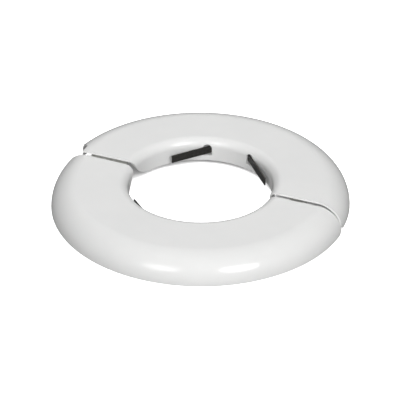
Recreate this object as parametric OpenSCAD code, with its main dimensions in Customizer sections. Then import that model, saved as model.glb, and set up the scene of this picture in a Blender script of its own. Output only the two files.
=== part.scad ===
/* [Plate] */
// Outside diameter of the rim
rim_d = 101.6; // [100:0.2:104]
// Diameter of the collar that goes round the pipe
bore_d = 49.2; // [48.8:0.1:50]
// Height of the flat top above the rim
plate_h = 8.7; // [8.6:0.1:9.2]
// Thickness of the enamelled sheet
sheet_t = 0.7; // [0.6:0.05:0.8]
// Radius where the top turns down into the collar
fillet_r = 3; // [2.8:0.1:3.4]
// Height of the collar's lower edge above the rim
collar_z = 0.6; // [0.3:0.1:1]
// Radius of the lower corners at the collar's cut ends
collar_corner_r = 10; // [9:0.5:12]
// Radius of the lower corners at the rim's cut ends
rim_corner_r = 2; // [1.5:0.1:3]

/* [Seam] */
// Gap between the cut edges of the two halves
seam_gap = 0.2; // [0.2:0.05:0.4]
// Extra gap at the bore on the hinge side, fading to nothing at the rim
seam_taper = 0.6; // [0.2:0.1:1.2]
// How much higher the rear half sits, so that it can swing over the front one
rear_lift = 1.25; // [1.1:0.05:1.4]
// Depth of the shallow hollows in the front half's edge on the latch side
edge_hollow = 0.25; // [0.1:0.05:0.4]

/* [Hinge] */
// Distance of the pivot from the pipe's axis, along the seam
pivot_x = 39; // [38.5:0.1:39.2]
// Distance of the pivot behind the seam
pivot_y = 4.2; // [4:0.1:4.4]
// Diameter of the pivot stud
stud_d = 2.4; // [2.2:0.1:2.6]
// Radial clearance of the stud in the strap
pivot_fit = 0.05; // [0.02:0.01:0.08]
// Thickness of the hinge strap
strap_t = 0.8; // [0.7:0.05:0.9]
// Width of the hinge strap
strap_w = 4.6; // [4.4:0.1:4.8]
// How far the strap widens towards the bore along the seam
strap_wing = 9; // [6:0.5:9.5]
// Length of the strap's welded tail in front of the seam
strap_tail = 6; // [5:0.5:6]
// Where the rear half's cut edge ends on the hinge side, from the pipe's axis
relief_x = 44.4; // [43.8:0.1:44.4]
// How far behind the seam the swing relief turns outward
relief_y = 4.2; // [3.8:0.1:4.4]
// Slope of the outer part of the relief away from the seam's normal, in degrees
relief_slope = 40; // [38:1:40]

/* [Latch] */
// Distance of the tongue from the pipe's axis, along the seam
tongue_x = 34.8; // [34.5:0.1:35]
// Width of the tongue
tongue_w = 6; // [5.6:0.1:6.2]
// Thickness of the tongue and of the keeper
tongue_t = 0.6; // [0.5:0.05:0.65]
// How far the tongue reaches behind the seam
tongue_reach = 9; // [8:0.5:10]
// Length of the tongue's welded tail in front of the seam
tongue_tail = 8; // [6:0.5:10]
// Length of the keeper, front to back
keeper_len = 4; // [3:0.5:5]

/* [Springs] */
// Height of the spring strip
strip_w = 2.8; // [2.7:0.05:3]
// Thickness of the spring strip
strip_t = 0.4; // [0.3:0.05:0.45]
// Angle of each slot from the spring's middle, in degrees
slot_angle = 19.3; // [18.5:0.1:20]
// Width of a slot
slot_w = 3.25; // [3.2:0.05:3.4]
// Height of a slot
slot_h = 4.3; // [4.2:0.05:4.5]
// Height of a slot's middle above the rim
slot_z = 4.7; // [4.5:0.1:4.9]
// Turn of the spring's middle from the middle of its half, in degrees
spring_turn = -2.3; // [-4:0.1:4]
// Slope of the rear spring's arms, in degrees
rear_arm_slope = 44; // [43:0.5:45]
// Slope of the front spring's arms, in degrees
front_arm_slope = 43; // [42:0.5:44]
// Length of an arm inside the bore
arm_reach = 13.2; // [12:0.1:13.5]
// How far an arm drops on its way to its free end
arm_drop = 1.6; // [1.2:0.1:1.8]

/* [Hidden] */
$fn = 96;

rim_r = rim_d / 2;
bore_r = bore_d / 2;
top_in_r = bore_r + fillet_r;
top_out_r = rim_r - plate_h;
front_under = plate_h - sheet_t;
rear_under = plate_h + rear_lift - sheet_t;
half_gap = seam_gap / 2;
reach = rim_r + 2;
relief_out = reach - relief_x;

// The strap and the tongue step up from the front half's underside to the rear half's
slide_fit = 0.05;
step_start = 0.3;
step_end = 1.8;
strap_top = rear_under - slide_fit;
wing_back = 2.4;
stud_head_r = stud_d / 2 + 0.9;
stud_head_t = 0.8;
head_edge = 0.3;

tongue_play = 0.3;
tongue_top = rear_under - tongue_play;
tongue_tip_r = 2;
keeper_play_x = 0.6;
keeper_play_z = 0.25;
keeper_foot = 2;
keeper_y = 2.5;
keeper_in = tongue_w / 2 + keeper_play_x;
keeper_floor = tongue_top - tongue_t - keeper_play_z;

// Stretches of the front half's latch edge that stand back a little, as distances from the axis
hollow_spans = [[bore_r - 1, bore_r + 4], [32.6, 36.8], [40.6, 41.6]];

spring_mid = 90 + spring_turn;
bow_start = 1.8;
arm_root = 0.1;
rear_strip_z = 4.8;
front_strip_z = 4.6;

enamel = [0.91, 0.91, 0.90];
black_steel = [0.16, 0.16, 0.15];
zinc_steel = [0.62, 0.62, 0.60];

// Half of the sheet's section: rim, round shoulder, flat top, inner fillet and collar
module plate_section() {
  intersection() {
    translate([top_out_r, 0]) bent_sheet(plate_h);
    translate([top_out_r, 0]) square(plate_h);
  }
  translate([top_in_r, front_under]) square([top_out_r - top_in_r, sheet_t]);
  intersection() {
    translate([top_in_r, plate_h - fillet_r]) bent_sheet(fillet_r);
    translate([bore_r, plate_h - fillet_r]) square(fillet_r);
  }
  translate([bore_r, collar_z]) square([sheet_t, plate_h - fillet_r - collar_z]);
}

module bent_sheet(outer_r) {
  difference() {
    circle(r = outer_r);
    circle(r = outer_r - sheet_t);
  }
}

// Rounds the lower corner of a cut end at x > 0: what lies outside the corner's circle
module corner_cut(x_from, x_to, z_low, corner_r, z_high) {
  difference() {
    translate([x_from, -1, -1])
      cube([x_to - x_from, 1 + half_gap + corner_r, z_high + 1]);
    translate([x_from - 1, half_gap + corner_r, z_low + corner_r])
      rotate([0, 90, 0])
        cylinder(r = corner_r, h = x_to - x_from + 2);
  }
}

module rim_corner() {
  corner_cut(top_out_r, reach, 0, rim_corner_r, rim_corner_r);
}

module collar_corner() {
  corner_cut(bore_r - 6, top_in_r, collar_z, collar_corner_r, front_under);
}

// One slot for the spring, through the collar along +X, with a round top and a square foot
module slot() {
  rise = (slot_h - slot_w) / 2;
  translate([bore_r - 2, 0, slot_z]) {
    translate([0, 0, rise]) rotate([0, 90, 0]) cylinder(d = slot_w, h = 4.5);
    translate([0, -slot_w / 2, -slot_h / 2]) cube([4.5, slot_w, slot_h / 2 + rise]);
  }
}

// Half a plate on the +Y side, with straight cut ends, rounded collar ends and spring slots
module plate_half() {
  difference() {
    rotate_extrude(angle = 180) plate_section();
    translate([-reach, -1, -1]) cube([2 * reach, 1 + half_gap, plate_h + 2]);
    collar_corner();
    mirror([1, 0, 0]) collar_corner();
    for (side = [-1, 1])
      rotate([0, 0, spring_mid + side * slot_angle]) slot();
  }
}

// The rear half's hinge end is cut away beyond the pivot, where it would meet the front half
module rear_half() {
  color(enamel)
    translate([0, 0, rear_lift])
      difference() {
        plate_half();
        rim_corner();
        translate([-relief_x, relief_y, -1])
          linear_extrude(height = plate_h + 2)
            polygon([[0, -2 * relief_y], [0, 0], [-relief_out, relief_out / tan(relief_slope)],
                     [-2 * relief_out, 0], [-2 * relief_out, -2 * relief_y]]);
      }
}

// Seen from its own side, the front half's latch end is at -X and its hinge end at +X
module front_half() {
  color(enamel)
    rotate([0, 0, 180])
      difference() {
        plate_half();
        rim_corner();
        mirror([1, 0, 0]) rim_corner();
        translate([rim_r, 0, -1])
          rotate([0, 0, -atan(seam_taper / (rim_r - bore_r))])
            translate([-reach, -1, 0]) cube([reach + 5, 1 + half_gap, plate_h + 2]);
        for (span = hollow_spans)
          translate([-span[1], -1, -1])
            cube([span[1] - span[0], 1 + half_gap + edge_hollow, plate_h + 2]);
      }
}

// Flat strip with two arms that come through the slots into the bore
module spring(slope, z) {
  wall_r = bore_r + sheet_t / 2;
  slot_point = wall_r * [cos(slot_angle), sin(slot_angle)];
  bow_end = slot_point + bow_start * [sin(slope), -cos(slope)];
  bow_r = bow_end[1] / sin(slope);
  bow_x = bow_end[0] - bow_r * cos(slope);
  rotate([0, 0, spring_mid])
    translate([0, 0, z - strip_w / 2]) {
      translate([bow_x, 0, 0])
        rotate([0, 0, -slope])
          rotate_extrude(angle = 2 * slope)
            translate([bow_r - strip_t / 2, 0]) square([strip_t, strip_w]);
      spring_arm(bow_end, slope);
      mirror([0, 1, 0]) spring_arm(bow_end, slope);
    }
}

// Leaves the bow with its lower edge level with the bow's, and runs down to its free end
module spring_arm(start, slope) {
  fall = arm_drop / (bow_start + arm_reach);
  translate([start[0], start[1], 0])
    rotate([0, 0, slope])
      multmatrix([[1, 0, 0, 0], [0, 1, 0, 0], [0, -fall, 1, 0], [0, 0, 0, 1]])
        translate([-strip_t / 2, -arm_root, 0])
          cube([strip_t, arm_root + bow_start + arm_reach, strip_w]);
}

module rear_spring() {
  color(black_steel) spring(rear_arm_slope, rear_lift + rear_strip_z);
}

module front_spring() {
  color(black_steel) rotate([0, 0, 180]) spring(front_arm_slope, front_strip_z);
}

// Side view of a flat strap that steps up as it crosses the seam, as an outline in Y and Z
function stepped_outline(tail, reach_y, thick, top) = [
  [-tail, front_under - thick], [step_start, front_under - thick], [step_end, top - thick],
  [reach_y, top - thick], [reach_y, top], [step_end, top], [step_start, front_under],
  [-tail, front_under]];

module stepped_strap(width, tail, reach_y, thick, top) {
  rotate([90, 0, 90])
    translate([0, 0, -width / 2])
      linear_extrude(height = width) polygon(stepped_outline(tail, reach_y, thick, top));
}

// Welded under the front half, with a wing along the seam; its round eye lies under the rear half
module hinge_strap() {
  eye_r = strap_w / 2;
  color(zinc_steel)
    translate([-pivot_x, 0, 0])
      difference() {
        intersection() {
          stepped_strap(strap_w + 2 * strap_wing, strap_tail, pivot_y + eye_r, strap_t, strap_top);
          union() {
            translate([-eye_r, -strap_tail, 0]) cube([strap_w, strap_tail + pivot_y, rear_under]);
            translate([-eye_r, -strap_tail, 0])
              cube([strap_w + strap_wing, strap_tail + wing_back, rear_under]);
            translate([0, pivot_y, 0]) cylinder(r = eye_r, h = rear_under);
          }
        }
        translate([0, pivot_y, 0]) cylinder(r = stud_d / 2 + pivot_fit, h = rear_under);
      }
}

// Welded to the rear half's underside, through the strap's eye, and headed over below it
module hinge_stud() {
  head_top = strap_top - strap_t - slide_fit;
  color(zinc_steel)
    translate([-pivot_x, pivot_y, 0]) {
      translate([0, 0, head_top]) cylinder(d = stud_d, h = rear_under - head_top);
      translate([0, 0, head_top - stud_head_t + head_edge])
        cylinder(r = stud_head_r, h = stud_head_t - head_edge);
      translate([0, 0, head_top - stud_head_t])
        cylinder(r1 = stud_head_r - head_edge, r2 = stud_head_r, h = head_edge);
    }
}

// Welded under the front half; its free end slides into the keeper
module latch_tongue() {
  tip_x = tongue_w / 2 - tongue_tip_r;
  color(zinc_steel)
    translate([tongue_x, 0, 0])
      intersection() {
        stepped_strap(tongue_w, tongue_tail, tongue_reach, tongue_t, tongue_top);
        union() {
          translate([-tongue_w / 2, -tongue_tail, 0])
            cube([tongue_w, tongue_tail + tongue_reach - tongue_tip_r, rear_under]);
          translate([-tip_x, 0, 0]) cube([2 * tip_x, tongue_reach, rear_under]);
          for (side = [-1, 1])
            translate([side * tip_x, tongue_reach - tongue_tip_r, 0])
              cylinder(r = tongue_tip_r, h = rear_under);
        }
      }
}

// A bridge of strip welded under the rear half by its two feet
module latch_keeper() {
  color(zinc_steel)
    translate([tongue_x, keeper_y, 0]) {
      translate([-keeper_in - tongue_t, 0, keeper_floor - tongue_t])
        cube([2 * (keeper_in + tongue_t), keeper_len, tongue_t]);
      for (side = [-1, 1])
        translate([side * (keeper_in + tongue_t / 2) - tongue_t / 2, 0, keeper_floor])
          cube([tongue_t, keeper_len, rear_under - keeper_floor]);
      for (side = [-1, 1])
        translate([side * (keeper_in + tongue_t + keeper_foot / 2) - keeper_foot / 2, 0,
                   rear_under - tongue_t])
          cube([keeper_foot, keeper_len, tongue_t]);
    }
}

rear_half();
front_half();
rear_spring();
front_spring();
hinge_strap();
hinge_stud();
latch_tongue();
latch_keeper();
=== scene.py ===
import math

import bpy
from mathutils import Matrix, Vector

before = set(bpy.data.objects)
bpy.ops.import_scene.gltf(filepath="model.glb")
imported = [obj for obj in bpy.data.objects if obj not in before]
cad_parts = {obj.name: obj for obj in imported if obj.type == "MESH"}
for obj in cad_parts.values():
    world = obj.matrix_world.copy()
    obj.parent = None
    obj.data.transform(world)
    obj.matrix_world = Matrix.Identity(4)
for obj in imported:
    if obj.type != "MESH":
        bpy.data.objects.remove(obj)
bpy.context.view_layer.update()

IMAGE_SIDE = 400
MM = 0.001

# ---- Camera, in the part's frame ----
CAMERA_AZIMUTH = math.radians(-67.57)
CAMERA_ELEVATION = math.radians(32.11)
CAMERA_DISTANCE = 0.5929
CAMERA_ROLL = 0.0058
FOCAL_PX = 1736.4
SHIFT_PX = (-0.4, 1.4)
SENSOR_MM = 36.0


def direction(azimuth, elevation):
    """Unit vector at an azimuth and elevation in radians, in the part's frame."""
    return Vector((math.cos(elevation) * math.cos(azimuth),
                   math.cos(elevation) * math.sin(azimuth),
                   math.sin(elevation)))


def photo_direction(azimuth_deg, elevation_deg):
    """The same, with the azimuth counted so that the camera stands at -90 degrees."""
    turn = CAMERA_AZIMUTH + math.pi / 2
    return direction(math.radians(azimuth_deg) + turn, math.radians(elevation_deg))


def add_camera():
    data = bpy.data.cameras.new("camera")
    data.sensor_width = SENSOR_MM
    data.lens = FOCAL_PX * SENSOR_MM / IMAGE_SIDE
    data.shift_x = SHIFT_PX[0] / IMAGE_SIDE
    data.shift_y = SHIFT_PX[1] / IMAGE_SIDE
    data.clip_start = 0.01
    data.clip_end = 50
    camera = bpy.data.objects.new("camera", data)
    bpy.context.scene.collection.objects.link(camera)
    back = direction(CAMERA_AZIMUTH, CAMERA_ELEVATION)
    right = Vector((0, 0, 1)).cross(back).normalized()
    up = back.cross(right)
    rolled_right = math.cos(CAMERA_ROLL) * right + math.sin(CAMERA_ROLL) * up
    rolled_up = back.cross(rolled_right)
    turn = Matrix((rolled_right, rolled_up, back)).transposed().to_4x4()
    camera.matrix_world = Matrix.Translation(back * CAMERA_DISTANCE) @ turn
    bpy.context.scene.camera = camera


# ---- Studio: soft lobes of light all round, from above and from the sides ----
# Each lobe: photo azimuth, elevation, sharpness, strength
LOBES = [
    (-128, 30, 14, 0.3),
    (-52, 30, 14, 0.4),
    (95, 42, 12, 0.92),
    (-90, 15, 4, 0.45),
    (0, 90, 5, 0.45),
    (-90, 60, 6, 0.15),
]
AMBIENT = 0.17
# Round panels with a clearer edge, which the enamel shows as highlights
# Each panel: photo azimuth, elevation, half angle of its full part and of its edge, strength
PANELS = [
    (-121, 33, 7, 15, 4.6),
    (-59, 33, 12, 15, 6.6),
]


def add_world():
    world = bpy.data.worlds.new("studio")
    bpy.context.scene.world = world
    world.use_nodes = True
    tree = world.node_tree
    tree.nodes.clear()
    coords = tree.nodes.new("ShaderNodeTexCoord")

    def facing(azimuth, elevation):
        """How far a ray points to a light: the cosine of the angle between them."""
        dot = tree.nodes.new("ShaderNodeVectorMath")
        dot.operation = "DOT_PRODUCT"
        dot.inputs[1].default_value = photo_direction(azimuth, elevation)
        tree.links.new(coords.outputs["Generated"], dot.inputs[0])
        return dot.outputs["Value"]

    def calculate(operation, source, *constants):
        node = tree.nodes.new("ShaderNodeMath")
        node.operation = operation
        tree.links.new(source, node.inputs[0])
        for socket, value in zip(node.inputs[1:], constants):
            socket.default_value = value
        return node

    lights = []
    for azimuth, elevation, sharpness, strength in LOBES:
        power = calculate("MULTIPLY_ADD", facing(azimuth, elevation), sharpness,
                          math.log(strength) - sharpness)
        lights.append(calculate("EXPONENT", power.outputs[0]).outputs[0])
    for azimuth, elevation, full, edge, strength in PANELS:
        panel = tree.nodes.new("ShaderNodeMapRange")
        panel.interpolation_type = "SMOOTHSTEP"
        panel.inputs["From Min"].default_value = math.cos(math.radians(edge))
        panel.inputs["From Max"].default_value = math.cos(math.radians(full))
        panel.inputs["To Max"].default_value = strength
        tree.links.new(facing(azimuth, elevation), panel.inputs["Value"])
        lights.append(panel.outputs["Result"])
    total = calculate("ADD", lights[0], AMBIENT)
    for light in lights[1:]:
        summed = calculate("ADD", total.outputs[0])
        tree.links.new(light, summed.inputs[1])
        total = summed
    background = tree.nodes.new("ShaderNodeBackground")
    tree.links.new(total.outputs[0], background.inputs["Color"])
    output = tree.nodes.new("ShaderNodeOutputWorld")
    tree.links.new(background.outputs[0], output.inputs["Surface"])


# ---- Floor: white paper that glows in the open, with painted shade under the cover where its glow is dimmed, at any pose ----
FLOOR_HALF = 6.0
FLOOR_DROP = 0.02 * MM
PAPER_TONE = 0.9
PAPER_GLOW = 0.97
SHELTERED_GLOW = 0.05
SHELTER_REACH = 30 * MM
# Share of open sky over a point at which it counts as sheltered and as open
SHELTERED_SKY = 0.12
OPEN_SKY = 0.28


def add_floor():
    half = FLOOR_HALF
    mesh = bpy.data.meshes.new("floor")
    mesh.from_pydata([(-half, -half, 0), (half, -half, 0), (half, half, 0), (-half, half, 0)],
                     [], [(0, 1, 2, 3)])
    floor = bpy.data.objects.new("floor", mesh)
    floor.location.z = -FLOOR_DROP
    bpy.context.scene.collection.objects.link(floor)
    paper = bpy.data.materials.new("paper")
    paper.use_nodes = True
    shader = paper.node_tree.nodes["Principled BSDF"]
    shader.inputs["Base Color"].default_value = (PAPER_TONE, PAPER_TONE, PAPER_TONE, 1)
    shader.inputs["Roughness"].default_value = 0.9
    shader.inputs["Specular IOR Level"].default_value = 0.0
    shader.inputs["Emission Color"].default_value = (1, 1, 1, 1)
    nodes, links = paper.node_tree.nodes, paper.node_tree.links
    sky = nodes.new("ShaderNodeAmbientOcclusion")
    sky.inputs["Distance"].default_value = SHELTER_REACH
    # Painted shade: the paper's glow drops to SHELTERED_GLOW where the cover hides the sky
    # above it
    glow = nodes.new("ShaderNodeMapRange")
    glow.inputs["From Min"].default_value = SHELTERED_SKY
    glow.inputs["From Max"].default_value = OPEN_SKY
    glow.inputs["To Min"].default_value = SHELTERED_GLOW
    glow.inputs["To Max"].default_value = PAPER_GLOW
    links.new(sky.outputs["AO"], glow.inputs["Value"])
    links.new(glow.outputs["Result"], shader.inputs["Emission Strength"])
    mesh.materials.append(paper)
    # The paper's glow is kept off the object
    floor.visible_diffuse = False
    floor.visible_glossy = False


# ---- Materials ----
# Radius that the paint gives to the cut edges
EDGE_ROUND = 0.2 * MM


class Nodes:
    """A material's node tree, with short calls to add and link nodes."""

    def __init__(self, name):
        self.material = bpy.data.materials.new(name)
        self.material.use_nodes = True
        self.tree = self.material.node_tree
        self.shader = self.tree.nodes["Principled BSDF"]

    def add(self, kind, **inputs):
        node = self.tree.nodes.new("ShaderNode" + kind)
        for key, value in inputs.items():
            node.inputs[key.replace("_", " ")].default_value = value
        return node

    def link(self, a, out, b, into):
        self.tree.links.new(a.outputs[out], b.inputs[into])

    def noise(self, scale, detail=2.0, roughness=0.5):
        coords = self.add("TexCoord")
        noise = self.add("TexNoise", Scale=scale, Detail=detail, Roughness=roughness)
        self.link(coords, "Object", noise, "Vector")
        return noise

    def spread(self, source, low, high):
        """Maps a noise's middle range to low..high."""
        span = self.add("MapRange", From_Min=0.3, From_Max=0.7, To_Min=low, To_Max=high)
        self.link(source, "Fac" if "Fac" in source.outputs else 0, span, "Value")
        return span

    def mix(self, factor, colour_a, colour_b):
        node = self.add("Mix")
        node.data_type = "RGBA"
        node.inputs[6].default_value = (*colour_a, 1)
        node.inputs[7].default_value = (*colour_b, 1)
        self.tree.links.new(factor.outputs[0], node.inputs[0])
        return node

    def bump(self, source, distance, strength=1.0, after=None):
        node = self.add("Bump", Strength=strength, Distance=distance)
        self.link(source, "Fac" if "Fac" in source.outputs else 0, node, "Height")
        if after:
            self.link(after, "Normal", node, "Normal")
        return node


def enamel():
    """Glossy white stove enamel: faint orange peel over slightly uneven sheet."""
    n = Nodes("enamel")
    cloud = n.spread(n.noise(60, 3), 0, 1)
    tone = n.mix(cloud, (0.835, 0.838, 0.832), (0.865, 0.866, 0.858))
    n.link(tone, 2, n.shader, "Base Color")
    rough = n.spread(n.noise(180, 3), 0.06, 0.11)
    n.link(rough, 0, n.shader, "Roughness")
    rounded = n.add("Bevel", Radius=EDGE_ROUND)
    uneven = n.bump(n.noise(110, 1), 0.012 * MM, after=rounded)
    peel = n.bump(n.noise(1400, 2), 0.0015 * MM, after=uneven)
    n.link(peel, "Normal", n.shader, "Normal")
    n.shader.inputs["IOR"].default_value = 1.5
    return n.material


def spring_steel():
    """Black oxide strip: dark, semi-gloss, with a fine bumpy grain and paler worn spots."""
    n = Nodes("spring_steel")
    wear = n.spread(n.noise(900, 4, 0.6), 0, 1)
    tone = n.mix(wear, (0.022, 0.022, 0.020), (0.05, 0.048, 0.044))
    n.link(tone, 2, n.shader, "Base Color")
    rough = n.spread(n.noise(500, 3), 0.28, 0.42)
    n.link(rough, 0, n.shader, "Roughness")
    n.link(n.bump(n.noise(2500, 2), 0.004 * MM), "Normal", n.shader, "Normal")
    n.shader.inputs["Metallic"].default_value = 0.35
    return n.material


def plated_steel():
    """Zinc plate: pale grey, dull sheen with a cloudy tone."""
    n = Nodes("plated_steel")
    cloud = n.spread(n.noise(350, 4, 0.6), 0, 1)
    tone = n.mix(cloud, (0.50, 0.50, 0.48), (0.66, 0.66, 0.63))
    n.link(tone, 2, n.shader, "Base Color")
    rough = n.spread(n.noise(600, 3), 0.28, 0.45)
    n.link(rough, 0, n.shader, "Roughness")
    n.link(n.bump(n.noise(1800, 2), 0.004 * MM), "Normal", n.shader, "Normal")
    n.shader.inputs["Metallic"].default_value = 0.9
    return n.material


def dress(names, material):
    for name in names:
        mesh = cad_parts[name].data
        mesh.materials.clear()
        mesh.materials.append(material)


add_camera()
add_world()
add_floor()
dress(["rear_half", "front_half"], enamel())
dress(["rear_spring", "front_spring"], spring_steel())
dress(["hinge_strap", "hinge_stud", "latch_tongue", "latch_keeper"], plated_steel())

scene = bpy.context.scene
scene.view_settings.view_transform = "Standard"
scene.view_settings.look = "None"
